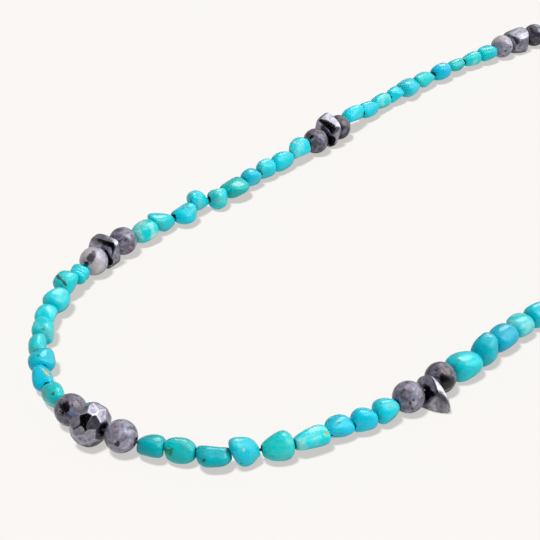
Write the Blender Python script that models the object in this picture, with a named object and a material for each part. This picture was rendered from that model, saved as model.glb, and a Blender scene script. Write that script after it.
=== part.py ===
"""Beaded necklace: one loop of turquoise nuggets lying flat, with round larvikite beads,
tumbled hematite chips and one faceted hematite bead at the middle of the front.

The loop lies on the XY plane with +Z up. +Y runs from the front bead to the clasp.
"""

import math
from collections import namedtuple

import bmesh
import bpy
import numpy as np
from mathutils import Matrix, Vector

# Driving sizes, in metres
NUGGET_LENGTH = 0.0040
NUGGET_WIDTH = 0.0032
NUGGET_HEIGHT = 0.0030
LARVIKITE_DIAMETER = 0.0043
FACETED_DIAMETER = 0.0058
FACETED_LENGTH = 0.0041
CHIP_SIZE = 0.0040
BORE_DIAMETER = 0.0011
BORE_WALL = 0.00035
THREAD_DIAMETER = 0.0004
THREAD_HEIGHT = 0.0018
BEAD_GAP = 0.00015
CLASP_LENGTH = 0.0120
CLASP_DIAMETER = 0.0043
CLASP_BORE_DEPTH = 0.0020
FACETED_SWAY = 0.0004
FRONT_LIFT = 0.4

# Mesh fineness
NUGGET_SIDES = 10
NUGGET_RINGS = 6
ROUND_SIDES = 12
ROUND_RINGS = 6
BORE_SIDES = 6
CLASP_SIDES = 16

# The strand's route round the loop, in metres, from the front bead counter-clockwise.
ROUTE = (
    (0.0126, -0.0430), (0.0298, -0.0310), (0.0360, -0.0130), (0.0365, 0.0070), (0.0365, 0.0270),
    (0.0368, 0.0470), (0.0372, 0.0670), (0.0368, 0.0870), (0.0325, 0.1110), (0.0185, 0.1286),
    (-0.0020, 0.1290), (-0.0175, 0.1125), (-0.0222, 0.0920), (-0.0242, 0.0730), (-0.0240, 0.0540),
    (-0.0216, 0.0350), (-0.0201, 0.0160), (-0.0198, -0.0020), (-0.0172, -0.0210), (-0.0064, -0.0372),
)

# A cut is the form a nugget was tumbled to. blunt goes from round ends (2) to flat ones and
# square from a round girth (2) to a boxy one. taper swells the end that leads
# counter-clockwise, waist draws the middle in, dip slopes the ends and turn rolls it about
# the thread, in degrees.
Cut = namedtuple("Cut", "blunt square taper waist dip turn")
CUTS = {
    "pebble": Cut(2.5, 2.2, 0.0, 0.0, 0.0, 0),
    "barrel": Cut(3.0, 2.4, 0.0, 0.0, 0.0, 0),
    "pear": Cut(2.6, 2.2, 0.16, 0.0, 0.0, 0),
    "drop": Cut(2.6, 2.2, -0.16, 0.0, 0.0, 0),
    "teardrop": Cut(2.0, 2.2, 0.25, 0.0, 0.0, 0),
    "wedge": Cut(2.8, 2.4, 0.20, 0.0, 0.45, 0),
    "slope": Cut(2.8, 2.4, -0.20, 0.0, -0.45, 0),
    "cube": Cut(3.2, 3.0, 0.0, 0.0, 0.0, 10),
    "saddle": Cut(3.0, 2.4, 0.0, 0.14, 0.0, 0),
    "disc": Cut(2.6, 2.2, 0.0, 0.0, 0.0, 0),
}

# Nuggets in the order they lie counter-clockwise. length, width and height are shares of
# NUGGET_LENGTH, NUGGET_WIDTH and NUGGET_HEIGHT. lean shears the outer side forwards.
# side is how far it sits towards the outside of the loop, in shares of NUGGET_WIDTH,
# and lift how far it rides above its neighbours, in shares of NUGGET_HEIGHT.
Nugget = namedtuple("Nugget", "cut length width height lean side lift")
LEFT_THIRD = (
    Nugget("cube", 0.92, 0.95, 0.95, 0.0, 0.0, 0.0),
    Nugget("pebble", 1.08, 0.80, 0.85, 0.0, 0.0, 0.0),
    Nugget("drop", 0.96, 0.80, 0.75, 0.0, 0.0, 0.0),
    Nugget("pear", 1.05, 0.95, 1.00, 0.0, 0.0, 0.0),
    Nugget("wedge", 1.12, 0.93, 0.88, 0.0, 0.05, 0.0),
    Nugget("pear", 1.12, 1.20, 0.92, 0.0, 0.0, 0.0),
    Nugget("cube", 0.88, 0.85, 0.80, 0.0, 0.05, 0.0),
    Nugget("barrel", 1.05, 0.78, 0.85, 0.0, 0.1, 0.0),
    Nugget("disc", 0.90, 0.92, 0.92, 0.2, 0.1, 0.0),
    Nugget("cube", 1.22, 0.80, 0.88, 0.0, 0.1, 0.3),
)
LEFT_SECOND = (
    Nugget("cube", 1.00, 0.90, 1.00, 0.0, 0.1, 0.2),
    Nugget("pebble", 1.07, 0.85, 0.97, 0.0, 0.05, 0.0),
    Nugget("pebble", 0.84, 0.80, 1.13, 0.0, 0.05, 0.0),
    Nugget("disc", 0.88, 0.85, 1.00, 0.0, 0.0, 0.0),
    Nugget("pebble", 1.14, 1.20, 0.90, 0.0, -0.2, 0.0),
    Nugget("pebble", 0.78, 0.95, 1.13, 0.0, -0.35, 0.0),
    Nugget("wedge", 0.80, 0.85, 1.05, 0.0, 0.1, 0.2),
    Nugget("drop", 1.02, 1.15, 0.90, 0.0, -0.3, 0.0),
    Nugget("wedge", 0.90, 0.95, 1.05, 0.0, 0.05, 0.0),
    Nugget("pebble", 1.08, 1.15, 0.95, 0.0, -0.05, 0.0),
)
LEFT_FIRST = (
    Nugget("saddle", 0.66, 1.05, 0.85, 0.0, 0.1, 0.0),
    Nugget("pebble", 0.85, 1.10, 1.03, 0.0, 0.2, 0.2),
    Nugget("pear", 1.00, 1.10, 1.20, 0.0, 0.05, 0.0),
    Nugget("disc", 0.78, 0.95, 0.87, 0.0, 0.2, 0.0),
    Nugget("cube", 0.87, 0.90, 1.20, 0.0, 0.05, 0.0),
    Nugget("disc", 0.82, 0.80, 0.85, 0.0, 0.25, 0.0),
    Nugget("disc", 0.82, 1.20, 0.90, 0.0, 0.05, 0.0),
    Nugget("pebble", 0.99, 0.88, 0.90, 0.0, 0.2, 0.0),
    Nugget("barrel", 1.05, 0.88, 1.10, 0.0, 0.05, 0.0),
)
RIGHT_FIRST = (
    Nugget("barrel", 0.87, 0.92, 0.90, 0.0, 0.0, 0.0),
    Nugget("slope", 0.97, 1.05, 1.15, 0.0, 0.0, 0.0),
    Nugget("pebble", 1.07, 0.92, 0.85, 0.0, 0.3, 0.0),
    Nugget("slope", 0.83, 1.05, 1.20, 0.0, 0.0, 0.0),
    Nugget("teardrop", 1.05, 1.20, 1.15, 0.0, 0.0, 0.0),
    Nugget("barrel", 1.17, 0.95, 0.87, 0.0, -0.1, 0.0),
    Nugget("pebble", 0.90, 0.95, 0.85, 0.0, -0.3, 0.0),
    Nugget("pebble", 0.82, 0.88, 1.15, 0.0, -0.1, 0.0),
    Nugget("pebble", 0.83, 1.10, 1.10, 0.0, -0.05, 0.0),
)
RIGHT_SECOND = (
    Nugget("pebble", 1.20, 1.30, 1.25, 0.0, 0.05, 0.0),
    Nugget("disc", 0.97, 1.10, 1.42, 0.0, 0.05, 0.0),
    Nugget("pebble", 1.05, 1.12, 1.13, 0.0, -0.05, 0.0),
    Nugget("pebble", 0.90, 1.20, 0.90, 0.0, -0.05, 0.0),
    Nugget("pebble", 1.00, 1.10, 1.07, 0.0, 0.0, 0.0),
    Nugget("pear", 1.00, 1.00, 1.00, 0.0, 0.0, 0.0),
    Nugget("pebble", 1.00, 1.00, 1.00, 0.0, 0.0, 0.0),
    Nugget("drop", 1.00, 1.00, 1.00, 0.0, 0.0, 0.0),
    Nugget("cube", 0.90, 1.00, 1.00, 0.0, 0.0, 0.0),
    Nugget("barrel", 1.10, 1.00, 1.00, 0.0, 0.0, 0.0),
)

# A flat face of a chip or a cut bead. around is the face's direction about the thread:
# 0 outwards, 90 up, 180 inwards, 270 down. along turns it towards the thread's ends,
# and reach is its distance from the bead's centre in shares of the size that it follows.
# A chip's first two faces are its ends, where its neighbours touch it.
Face = namedtuple("Face", "around along reach")
CHIPS = {
    "tooth_out": (
        Face(120, -60, 0.085), Face(180, 80, 0.15), Face(92, -5, 0.46), Face(58, 5, 0.62),
        Face(50, -42, 0.50), Face(12, -45, 0.66), Face(0, 85, 0.21), Face(355, 0, 1.20),
        Face(130, 0, 0.52), Face(180, 0, 0.36), Face(270, 0, 0.52),
    ),
    "block": (
        Face(0, -90, 0.24), Face(90, 62, 0.173), Face(92, -10, 0.50), Face(100, 45, 0.44),
        Face(5, 0, 0.78), Face(180, 0, 0.42), Face(270, 0, 0.52), Face(45, 0, 0.80),
        Face(150, -10, 0.60), Face(225, 0, 0.62), Face(315, 0, 0.70),
    ),
    "tooth_up": (
        Face(270, -75, 0.20), Face(0, 90, 0.20), Face(116, 8, 0.64), Face(128, 45, 0.46),
        Face(88, 32, 0.66), Face(168, 28, 0.54), Face(5, 0, 0.53), Face(34, 0, 0.80),
        Face(90, -20, 0.95), Face(180, 0, 0.55), Face(206, 0, 0.56), Face(315, 0, 0.46),
        Face(270, 0, 0.46),
    ),
    "cylinder": (
        Face(0, -90, 0.53), Face(0, 90, 0.53), Face(85, 0, 0.45), Face(35, 0, 0.62),
        Face(118, 4, 0.50), Face(128, 45, 0.56), Face(0, 0, 0.66), Face(180, 0, 0.44),
        Face(180, -46, 0.49), Face(225, 25, 0.60), Face(270, 0, 0.52),
    ),
}

# Facet rows of the cut bead: angle from its middle, faces in the row, turn of the first.
FacetRow = namedtuple("FacetRow", "along count first")
FACET_ROWS = (
    FacetRow(0.0, 8, 270.0),
    FacetRow(38.0, 8, 292.5),
    FacetRow(-38.0, 8, 292.5),
)

# A piece on the thread: its length along it, the thread's height in it, how far it sways to
# the loop's outer side and how far it reaches there, and the row or name of its form.
Piece = namedtuple("Piece", "kind name length height sway outer form")


def hidden_nuggets(count, seed):
    """The stretches behind the photograph's edge: nuggets of the same range of forms."""
    pick = np.random.default_rng(seed)
    names = [name for name in sorted(CUTS) if name != "teardrop"]
    return tuple(
        Nugget(
            names[pick.integers(len(names))],
            round(pick.uniform(0.90, 1.06), 2),
            round(pick.uniform(0.88, 1.10), 2),
            round(pick.uniform(0.90, 1.10), 2),
            round(pick.uniform(-0.15, 0.15), 2),
            round(pick.uniform(-0.10, 0.10), 2),
            0.0,
        )
        for _ in range(count)
    )


def chip_length(form):
    """How much of the thread a chip takes between two round beads that touch its end faces."""
    ball = LARVIKITE_DIAMETER / 2 + BEAD_GAP
    first, last = CHIPS[form][:2]
    lean = [math.sin(math.radians(abs(face.along))) for face in (first, last)]
    ends = [(face.reach * CHIP_SIZE + ball) / share - ball for face, share in zip((first, last), lean)]
    return 2 * max(ends)


def facet_distance():
    """From the cut bead's centre to its facets, so that its corners are at its diameter."""
    return FACETED_DIAMETER / 2 * math.cos(math.pi / FACET_ROWS[0].count)


def nugget_piece(name, nugget):
    height = THREAD_HEIGHT + nugget.lift * NUGGET_HEIGHT / 2
    sway = nugget.side * NUGGET_WIDTH / 2
    outer = sway + (nugget.width / 2 + nugget.side / 2) * NUGGET_WIDTH
    return Piece("nugget", name, nugget.length * NUGGET_LENGTH, height, sway, outer, nugget)


def round_piece(name, lift=0.0):
    radius = LARVIKITE_DIAMETER / 2
    return Piece("round", name, LARVIKITE_DIAMETER, radius + lift, 0.0, radius, None)


def trio(place, form):
    """A chip between two round beads."""
    outwards = [face.reach for face in CHIPS[form] if face.along == 0 and face.around in (0, 5, 355)]
    length, height, outer = chip_length(form), LARVIKITE_DIAMETER / 2, outwards[0] * CHIP_SIZE
    middle = Piece("chip", f"hematite_chip_{place}", length, height, 0.0, outer, form)
    return [round_piece(f"larvikite_{place}_a"), middle, round_piece(f"larvikite_{place}_b")]


def front_trio():
    """The cut bead between two round beads, which it lifts a little."""
    height = facet_distance()
    lift = FRONT_LIFT * (height - LARVIKITE_DIAMETER / 2)
    outer = FACETED_SWAY + FACETED_DIAMETER / 2
    middle = Piece("faceted", "hematite_faceted", FACETED_LENGTH, height, FACETED_SWAY, outer, None)
    return [round_piece("larvikite_front_left", lift), middle, round_piece("larvikite_front_right", lift)]


def run(name, nuggets):
    return [nugget_piece(f"{name}_{i + 1}", nugget) for i, nugget in enumerate(nuggets)]


def strand():
    """All pieces on the thread, counter-clockwise from the clasp back to the clasp."""
    radius = CLASP_DIAMETER / 2
    clasp = Piece("clasp", "clasp", CLASP_LENGTH, radius, 0.0, radius, None)
    return (
        run("left_4", hidden_nuggets(10, 1)) + trio("left_3", "cylinder")
        + run("left_3", LEFT_THIRD) + trio("left_2", "tooth_up")
        + run("left_2", LEFT_SECOND) + trio("left_1", "block")
        + run("nugget_left_1", LEFT_FIRST) + front_trio() + run("nugget_right_1", RIGHT_FIRST)
        + trio("right_1", "tooth_out") + run("right_2", RIGHT_SECOND)
        + trio("right_2", "tooth_up") + run("right_3", hidden_nuggets(10, 2))
        + trio("right_3", "block") + run("right_4", hidden_nuggets(10, 3)) + [clasp]
    )


def smooth_loop(points, per_point=80):
    """A closed uniform cubic B-spline that passes through the points."""
    count = len(points)
    near = np.eye(count) * 4 / 6
    near += (np.roll(np.eye(count), 1, axis=0) + np.roll(np.eye(count), -1, axis=0)) / 6
    control = np.linalg.solve(near, np.array(points))
    t = np.arange(count * per_point) / per_point
    first = t.astype(int)
    f = (t - first)[:, None]
    weights = ((1 - f) ** 3, 3 * f**3 - 6 * f**2 + 4, -3 * f**3 + 3 * f**2 + 3 * f + 1, f**3)
    curve = sum(w / 6 * control[(first + k - 1) % count] for k, w in enumerate(weights))
    return np.vstack([curve, curve[:1]])


class Strand:
    """The thread's path in space and every piece's place along it."""

    def __init__(self):
        self.pieces = strand()
        pitch = np.array([piece.length + BEAD_GAP for piece in self.pieces])
        self.total = pitch.sum()
        front = [piece.kind for piece in self.pieces].index("faceted")
        middles = np.cumsum(pitch) - pitch / 2
        self.at = middles - middles[front]
        self.heights = np.array([piece.height for piece in self.pieces])
        self.sways = np.array([piece.sway for piece in self.pieces])
        self.stiff = np.array([CLASP_LENGTH / 2 if piece.kind == "clasp" else 0.0 for piece in self.pieces])
        self.lay_route()

    def lay_route(self):
        """Scale the route to the strand's length, straighten it at the clasp and centre it."""
        curve = smooth_loop(ROUTE)
        steps = np.linalg.norm(np.diff(curve, axis=0), axis=1)
        grow = self.total / steps.sum()
        self.along = np.concatenate([[0.0], np.cumsum(steps)]) * grow
        curve = curve * grow
        ends = np.abs(self.along - self.total / 2) < CLASP_LENGTH / 2 + BEAD_GAP
        curve[ends] = np.linspace(curve[ends][0], curve[ends][-1], ends.sum())
        self.curve = curve
        edge = np.array([self.outer_edge(piece, s) for piece, s in zip(self.pieces, self.at)])
        self.curve = curve - (edge.min(axis=0) + edge.max(axis=0)) / 2

    def blend(self, values, s):
        """A piece-by-piece value read at a place between the pieces' middles, or the clasp's ends."""
        places = np.column_stack([self.at - self.stiff, self.at + self.stiff]).ravel()
        places = np.concatenate([places - self.total, places, places + self.total])
        return float(np.interp(s, places, np.tile(np.repeat(values, 2), 3)))

    def flat(self, s):
        s = s % self.total
        return Vector([np.interp(s, self.along, self.curve[:, axis]) for axis in (0, 1)] + [0.0])

    def outward(self, s):
        """The way to the loop's outer side, level."""
        ahead = self.flat(s + THREAD_DIAMETER) - self.flat(s - THREAD_DIAMETER)
        return Vector((ahead.y, -ahead.x, 0.0)).normalized()

    def outer_edge(self, piece, s):
        return (self.flat(s) + self.outward(s) * piece.outer).xy

    def point(self, s):
        """A point of the thread: the route, the sway to its outer side, and the height."""
        place = self.flat(s) + self.outward(s) * self.blend(self.sways, s)
        place.z = self.blend(self.heights, s)
        return place

    def seat(self, index):
        """Where a piece sits: X along the thread, Y outwards, Z up."""
        s, half = self.at[index], self.pieces[index].length / 2
        ahead = (self.point(s + half) - self.point(s - half)).normalized()
        outward = Vector((ahead.y, -ahead.x, 0.0)).normalized()
        up = outward.cross(ahead)
        turn = Matrix((ahead, -outward, up)).transposed().to_4x4()
        return Matrix.Translation(self.point(s)) @ turn


def material(name, colour, roughness, metallic=0.0):
    made = bpy.data.materials.new(name)
    made.use_nodes = True
    shader = made.node_tree.nodes["Principled BSDF"]
    shader.inputs["Base Color"].default_value = (*colour, 1.0)
    shader.inputs["Roughness"].default_value = roughness
    shader.inputs["Metallic"].default_value = metallic
    return made


def add_object(name, mesh, finish, parent, smooth_angle=60.0):
    made = bpy.data.objects.new(name, mesh)
    mesh.materials.append(finish)
    mesh.shade_smooth()
    mesh.set_sharp_from_angle(angle=math.radians(smooth_angle))
    parts.objects.link(made)
    made.parent = parent
    return made


def mesh_from(bm, name):
    mesh = bpy.data.meshes.new(name)
    bm.to_mesh(mesh)
    bm.free()
    return mesh


def add_boolean(target, other, operation):
    modifier = target.modifiers.new(operation.title(), "BOOLEAN")
    modifier.operation = operation
    modifier.object = other
    modifier.solver = "EXACT"


def add_cutter(name, mesh, place):
    cutter = bpy.data.objects.new(name, mesh)
    cutter.hide_render = True
    cutter.display_type = "WIRE"
    cutter.matrix_world = place
    cutters.objects.link(cutter)
    return cutter


def unit_ball(sides, rings):
    """A sphere of radius 1 whose poles lie on X, the thread's line."""
    bm = bmesh.new()
    bmesh.ops.create_uvsphere(bm, u_segments=sides, v_segments=rings, radius=1.0)
    bmesh.ops.rotate(bm, verts=bm.verts, matrix=Matrix.Rotation(math.pi / 2, 3, "Y"))
    return bm


def tumble(nugget, ball):
    """Unit-sphere points turned into the nugget's form about the thread's line.

    A super-ellipsoid, swollen by its taper, drawn in at its waist, rolled, then sheared
    by lean and dip. Returns the points and how freely each may move off the thread.
    """
    cut = CUTS[nugget.cut]
    girth = (np.abs(ball[:, 1:]) ** cut.square).sum(axis=1) ** (1 / cut.square)
    reach = (np.abs(ball[:, 0]) ** cut.blunt + girth**cut.blunt) ** (1 / cut.blunt)
    x, y, z = (ball / reach[:, None]).T
    swell = (1 + cut.taper * x) * (1 - cut.waist * np.exp(-((x / 0.35) ** 2)))
    roll = math.radians(cut.turn)
    y, z = swell * (y * math.cos(roll) - z * math.sin(roll)), swell * (y * math.sin(roll) + z * math.cos(roll))
    free = 1 - x**2
    x = x - nugget.lean * y + cut.dip * z
    half = np.array([nugget.length * NUGGET_LENGTH, nugget.width * NUGGET_WIDTH, nugget.height * NUGGET_HEIGHT]) / 2
    return np.column_stack([x / np.abs(x).max(), y, z]) * half, free


def settle(nugget, points, free, seat):
    """Shift the body off the thread: sideways by its side, and up until it clears the table.

    The ends stay on the thread, and a bore's wall is always left.
    """
    turn = np.array(seat.to_3x3())
    centre = np.array(seat.translation)
    spare = BORE_DIAMETER / 2 + BORE_WALL
    most_side = nugget.width * NUGGET_WIDTH / 2 - spare
    most_up = nugget.height * NUGGET_HEIGHT / 2 - spare
    points[:, 1] -= np.clip(nugget.side * NUGGET_WIDTH / 2, -most_side, most_side) * free
    up = nugget.lift * NUGGET_HEIGHT / 2
    for _ in range(8):
        lowest = (points @ turn.T + centre)[:, 2] + up * free
        up = min(up + max(-lowest.min(), 0.0), most_up)
    points[:, 2] += up * free
    return points


def nugget_mesh(bm, nugget, seat, into_world):
    """Turn the unit ball in bm into a settled nugget, in its own axes or the world's."""
    ball = np.array([vert.co for vert in bm.verts])
    points = settle(nugget, *tumble(nugget, ball), seat)
    for vert, point in zip(bm.verts, points):
        vert.co = seat @ Vector(point) if into_world else Vector(point)


def planed_block(faces, size):
    """A block planed down by flat faces, each at its reach from the centre."""
    bm = bmesh.new()
    bmesh.ops.create_cube(bm, size=4 * max(face.reach for face in faces) * size)
    for face in faces:
        around, along = math.radians(face.around), math.radians(face.along)
        flat = math.cos(along)
        normal = Vector((math.sin(along), -flat * math.cos(around), flat * math.sin(around)))
        whole = bm.verts[:] + bm.edges[:] + bm.faces[:]
        cut = bmesh.ops.bisect_plane(
            bm, geom=whole, plane_co=normal * face.reach * size, plane_no=normal, clear_outer=True
        )
        rim = [item for item in cut["geom_cut"] if isinstance(item, bmesh.types.BMEdge)]
        if rim:
            bmesh.ops.contextual_create(bm, geom=rim)
    bmesh.ops.recalc_face_normals(bm, faces=bm.faces)
    return bm


def facet_faces():
    """Every face of the cut bead: its rows of facets and the flats at the thread's holes."""
    distance = facet_distance() / FACETED_DIAMETER
    end = FACETED_LENGTH / 2 / FACETED_DIAMETER
    faces = [Face(0, 90, end), Face(0, -90, end)]
    for row in FACET_ROWS:
        for i in range(row.count):
            faces.append(Face(row.first + 360 / row.count * i, row.along, distance))
    return faces


def bore_mesh(length, diameter=BORE_DIAMETER):
    bm = bmesh.new()
    bmesh.ops.create_cone(
        bm, cap_ends=True, segments=BORE_SIDES, radius1=diameter / 2, radius2=diameter / 2, depth=length
    )
    bmesh.ops.rotate(bm, verts=bm.verts, matrix=Matrix.Rotation(math.pi / 2, 3, "Y"))
    return mesh_from(bm, "bore")


def drill(bead, seat, bore):
    add_boolean(bead, add_cutter(f"bore_{bead.name}", bore, seat), "DIFFERENCE")


def add_round_bead(piece, seat, bore):
    bm = unit_ball(ROUND_SIDES, ROUND_RINGS)
    bmesh.ops.scale(bm, verts=bm.verts, vec=Vector((1, 1, 1)) * LARVIKITE_DIAMETER / 2)
    bead = add_object(piece.name, mesh_from(bm, piece.name), larvikite, necklace)
    bead.matrix_world = seat
    drill(bead, seat, bore)


def add_chip(piece, seat, bore):
    bm = planed_block(CHIPS[piece.form], CHIP_SIZE)
    bead = add_object(piece.name, mesh_from(bm, piece.name), hematite, necklace, smooth_angle=20)
    bead.matrix_world = seat
    drill(bead, seat, bore)


def add_faceted_bead(piece, seat, bore):
    bm = planed_block(facet_faces(), FACETED_DIAMETER)
    bead = add_object(piece.name, mesh_from(bm, piece.name), hematite, necklace, smooth_angle=5)
    bead.matrix_world = seat
    drill(bead, seat, bore)


def add_nugget(piece, seat, bore):
    bm = unit_ball(NUGGET_SIDES, NUGGET_RINGS)
    nugget_mesh(bm, piece.form, seat, into_world=False)
    bead = add_object(piece.name, mesh_from(bm, piece.name), turquoise, necklace)
    bead.matrix_world = seat
    drill(bead, seat, bore)


def thread_curve(name, lay, places, sides=6):
    """A tube through the given places of the strand."""
    curve = bpy.data.curves.new(name, "CURVE")
    curve.dimensions = "3D"
    curve.bevel_depth = THREAD_DIAMETER / 2
    curve.bevel_resolution = sides // 2 - 2
    curve.use_fill_caps = True
    spline = curve.splines.new("POLY")
    spline.points.add(len(places) - 1)
    for point, s in zip(spline.points, places):
        point.co = (*lay.point(s), 1.0)
    return curve


def solid_thread(name, lay, places):
    """The same tube as a closed mesh, for joining."""
    tube = bpy.data.objects.new(name, thread_curve(name, lay, places, sides=4))
    bpy.context.scene.collection.objects.link(tube)
    bpy.context.view_layer.update()
    graph = bpy.context.evaluated_depsgraph_get()
    mesh = bpy.data.meshes.new_from_object(tube.evaluated_get(graph))
    bpy.data.objects.remove(tube)
    bm = bmesh.new()
    bm.from_mesh(mesh)
    bmesh.ops.remove_doubles(bm, verts=bm.verts, dist=THREAD_DIAMETER / 1000)
    bmesh.ops.recalc_face_normals(bm, faces=bm.faces)
    bm.to_mesh(mesh)
    bm.free()
    return mesh


def add_string(name, lay, indices, into_clasp=0):
    """Ten nuggets and the thread that they hang on, fused into one body."""
    whole = bmesh.new()
    for i in indices:
        bm = unit_ball(NUGGET_SIDES, NUGGET_RINGS)
        nugget_mesh(bm, lay.pieces[i].form, lay.seat(i), into_world=True)
        mesh = mesh_from(bm, "nugget")
        whole.from_mesh(mesh)
        bpy.data.meshes.remove(mesh)
    string = add_object(name, mesh_from(whole, name), turquoise, necklace)
    places = [lay.at[i] for i in indices]
    reach = BEAD_GAP + CLASP_BORE_DEPTH * 0.75
    if into_clasp < 0:
        places.insert(0, places[0] - lay.pieces[indices[0]].length / 2 - reach)
    if into_clasp > 0:
        places.append(places[-1] + lay.pieces[indices[-1]].length / 2 + reach)
    core = solid_thread(f"core_{name}", lay, places)
    add_boolean(string, add_cutter(f"core_{name}", core, Matrix.Identity(4)), "UNION")


def add_thread(name, lay, first, last):
    """The bare thread from end to end of the named pieces, with a point at each middle and gap."""
    names = [piece.name for piece in lay.pieces]
    i, j = names.index(first), names.index(last)
    places = [lay.at[i] - lay.pieces[i].length / 2]
    for piece, s in zip(lay.pieces[i : j + 1], lay.at[i : j + 1]):
        places += [s, s + (piece.length + BEAD_GAP) / 2]
    places[-1] -= BEAD_GAP / 2
    tube = bpy.data.objects.new(name, thread_curve(name, lay, places))
    tube.data.materials.append(thread)
    parts.objects.link(tube)
    tube.parent = necklace


def add_clasp(piece, seat):
    """A plain barrel clasp: domed ends, a slim collar in the middle, a blind hole at each end."""
    half, radius = CLASP_LENGTH / 2, CLASP_DIAMETER / 2
    collar, neck = CLASP_LENGTH * 0.04, CLASP_DIAMETER * 0.46
    mouth = CLASP_DIAMETER * 0.30
    profile = [(0.0, half), (mouth, half), (radius * 0.85, half - mouth * 0.35), (neck, half - mouth)]
    profile += [(neck, collar), (radius, collar * 0.6)]
    profile += [(r, -x) for r, x in reversed(profile)]
    bm = bmesh.new()
    verts = [bm.verts.new((x, 0.0, r)) for r, x in profile]
    edges = [bm.edges.new(pair) for pair in zip(verts, verts[1:])]
    bmesh.ops.spin(
        bm, geom=verts + edges, cent=(0, 0, 0), axis=(1, 0, 0), angle=math.tau, steps=CLASP_SIDES
    )
    bmesh.ops.remove_doubles(bm, verts=bm.verts, dist=CLASP_DIAMETER / 1000)
    bmesh.ops.recalc_face_normals(bm, faces=bm.faces)
    body = add_object(piece.name, mesh_from(bm, piece.name), silver, necklace, smooth_angle=30)
    body.matrix_world = seat
    hole = bore_mesh(2 * CLASP_BORE_DEPTH)
    for end in (-half, half):
        place = seat @ Matrix.Translation((end, 0.0, 0.0))
        add_boolean(body, add_cutter(f"bore_clasp_{end > 0:d}", hole, place), "DIFFERENCE")


def build():
    lay = Strand()
    bore = bore_mesh(4 * CHIP_SIZE)
    makers = {"round": add_round_bead, "chip": add_chip, "faceted": add_faceted_bead, "nugget": add_nugget}
    strings = {}
    for i, piece in enumerate(lay.pieces):
        prefix = piece.name.rsplit("_", 1)[0]
        if piece.kind == "clasp":
            add_clasp(piece, lay.seat(i))
        elif piece.kind == "nugget" and not piece.name.startswith("nugget"):
            strings.setdefault(prefix, []).append(i)
        else:
            makers[piece.kind](piece, lay.seat(i), bore)
    for prefix, indices in strings.items():
        into_clasp = {"left_4": -1, "right_4": 1}.get(prefix, 0)
        add_string(f"nuggets_{prefix}", lay, indices, into_clasp)
    for place in ("left_3", "left_2", "right_2", "right_3"):
        add_thread(f"thread_{place}", lay, f"larvikite_{place}_a", f"larvikite_{place}_b")
    add_thread("thread_front", lay, "larvikite_left_1_a", "larvikite_right_1_b")


for old in list(bpy.data.objects):
    bpy.data.objects.remove(old)

parts = bpy.data.collections.new("necklace")
cutters = bpy.data.collections.new("cutters")
cutters.hide_render = True
bpy.context.scene.collection.children.link(parts)
bpy.context.scene.collection.children.link(cutters)
necklace = bpy.data.objects.new("necklace", None)
parts.objects.link(necklace)

turquoise = material("turquoise", (0.05, 0.62, 0.65), 0.3)
larvikite = material("larvikite", (0.33, 0.30, 0.34), 0.25)
hematite = material("hematite", (0.20, 0.20, 0.23), 0.15, 1.0)
thread = material("thread", (0.10, 0.10, 0.11), 0.6)
silver = material("silver", (0.75, 0.75, 0.76), 0.25, 1.0)

build()
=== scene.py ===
import math
from collections import namedtuple

import bpy
import numpy as np
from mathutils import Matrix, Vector


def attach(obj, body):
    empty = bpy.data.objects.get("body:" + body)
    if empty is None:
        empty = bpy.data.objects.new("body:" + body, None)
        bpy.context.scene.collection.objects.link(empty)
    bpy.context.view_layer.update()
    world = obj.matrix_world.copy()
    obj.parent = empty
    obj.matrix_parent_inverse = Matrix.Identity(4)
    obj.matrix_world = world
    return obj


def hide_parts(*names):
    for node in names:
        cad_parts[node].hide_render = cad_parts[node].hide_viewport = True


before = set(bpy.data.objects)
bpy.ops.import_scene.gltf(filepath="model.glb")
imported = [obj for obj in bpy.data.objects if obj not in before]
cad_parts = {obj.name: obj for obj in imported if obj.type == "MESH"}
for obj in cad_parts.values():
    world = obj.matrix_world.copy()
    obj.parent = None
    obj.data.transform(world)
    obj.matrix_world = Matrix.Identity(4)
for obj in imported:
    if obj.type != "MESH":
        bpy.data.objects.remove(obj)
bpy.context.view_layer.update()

# The thread and the order on it. One thin dark twisted thread carries every bead and ends
# inside the clasp. The beader lays all pieces out in order before threading, so each piece's
# length and height, and the way the loop lies on the table, are settled here.
NUGGET_LENGTH, NUGGET_WIDTH, NUGGET_HEIGHT = 0.0040, 0.0032, 0.0030
LARVIKITE_DIAMETER = 0.0043
CUT_BEAD_DIAMETER, CUT_BEAD_LENGTH, CUT_BEAD_SWAY, CUT_BEAD_SIDES = 0.0058, 0.0041, 0.0004, 8
CHIP_SIZE = 0.0040
CLASP_LENGTH, CLASP_DIAMETER = 0.0120, 0.0043
THREAD_DIAMETER, THREAD_HEIGHT, BEAD_GAP = 0.0004, 0.0018, 0.00015

# The two beads beside the front one hang off the table by this share of the step up to it.
FRONT_LIFT = 0.4

# The route in metres, from the front bead counter-clockwise.
ROUTE = (
    (0.0126, -0.0430), (0.0298, -0.0310), (0.0360, -0.0130), (0.0365, 0.0070), (0.0365, 0.0270),
    (0.0368, 0.0470), (0.0372, 0.0670), (0.0368, 0.0870), (0.0325, 0.1110), (0.0185, 0.1286),
    (-0.0020, 0.1290), (-0.0175, 0.1125), (-0.0222, 0.0920), (-0.0242, 0.0730), (-0.0240, 0.0540),
    (-0.0216, 0.0350), (-0.0201, 0.0160), (-0.0198, -0.0020), (-0.0172, -0.0210), (-0.0064, -0.0372),
)

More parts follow.
